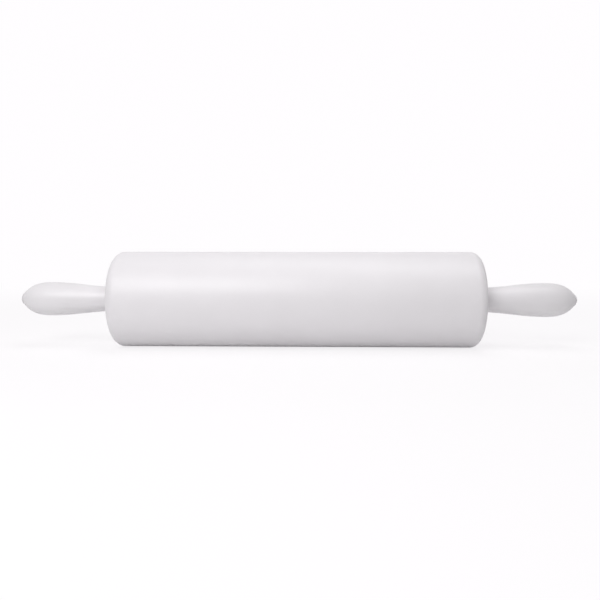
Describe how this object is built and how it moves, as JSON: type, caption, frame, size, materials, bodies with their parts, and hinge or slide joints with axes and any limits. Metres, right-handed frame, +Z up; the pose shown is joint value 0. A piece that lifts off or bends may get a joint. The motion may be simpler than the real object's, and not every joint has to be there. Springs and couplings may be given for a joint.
{
  "type": "plastic rolling pin",
  "caption": "Plain white plastic rolling pin: a turned roller with rounded ends spins on ball bearings around a steel axle that carries two shaped handles.",
  "frame": {"origin": "on the surface the pin lies on, under the middle of the roller", "axes": "+X along the axle towards the right-hand handle, +Z up, +Y away from the cook"},
  "size_m": [0.4686, 0.08, 0.08],
  "materials": {
    "white_polyethylene": "satin",
    "white_polypropylene": "satin",
    "natural_polyamide": "satin",
    "stainless_steel": "satin",
    "bearing_steel": "polished",
    "spring_steel": "satin",
    "zinc_plate": "satin"
  },
  "bodies": {
    "axle_set": {"axle": "stainless_steel", "left_handle": "white_polypropylene", "left_tip_plug": "white_polypropylene", "left_handle_screw": "stainless_steel", "left_screw_washer": "stainless_steel", "left_spacer_sleeve": "stainless_steel", "left_bearing_inner_ring": "bearing_steel", "left_circlip": "spring_steel", "right_handle": "white_polypropylene", "right_tip_plug": "white_polypropylene", "right_handle_screw": "stainless_steel", "right_screw_washer": "stainless_steel", "right_spacer_sleeve": "stainless_steel", "right_bearing_inner_ring": "bearing_steel", "right_circlip": "spring_steel"},
    "roller_set": {"roller": "white_polyethylene", "left_bearing_cover": "white_polyethylene", "left_bearing_outer_ring": "bearing_steel", "left_outboard_shield": "zinc_plate", "left_inboard_shield": "zinc_plate", "right_bearing_cover": "white_polyethylene", "right_bearing_outer_ring": "bearing_steel", "right_outboard_shield": "zinc_plate", "right_inboard_shield": "zinc_plate"},
    "left_ball_set": {"left_ball_cage": "natural_polyamide", "left_ball_1": "bearing_steel", "left_ball_2": "bearing_steel", "left_ball_3": "bearing_steel", "left_ball_4": "bearing_steel", "left_ball_5": "bearing_steel", "left_ball_6": "bearing_steel", "left_ball_7": "bearing_steel", "left_ball_8": "bearing_steel"},
    "right_ball_set": {"right_ball_cage": "natural_polyamide", "right_ball_1": "bearing_steel", "right_ball_2": "bearing_steel", "right_ball_3": "bearing_steel", "right_ball_4": "bearing_steel", "right_ball_5": "bearing_steel", "right_ball_6": "bearing_steel", "right_ball_7": "bearing_steel", "right_ball_8": "bearing_steel"}
  },
  "joints": [
    {"name": "roller_spin", "type": "hinge", "parent": "axle_set", "child": "roller_set", "pos_m": [0, 0, 0.04], "axis": [1, 0, 0], "continuous": true},
    {"name": "left_cage_spin", "type": "hinge", "parent": "axle_set", "child": "left_ball_set", "pos_m": [-0.1425, 0, 0.04], "axis": [1, 0, 0], "continuous": true},
    {"name": "right_cage_spin", "type": "hinge", "parent": "axle_set", "child": "right_ball_set", "pos_m": [0.1425, 0, 0.04], "axis": [1, 0, 0], "continuous": true}
  ],
  "couplings": [
    {"joint": "left_cage_spin", "follows": "roller_spin", "ratio": 0.6169},
    {"joint": "right_cage_spin", "follows": "roller_spin", "ratio": 0.6169}
  ]
}
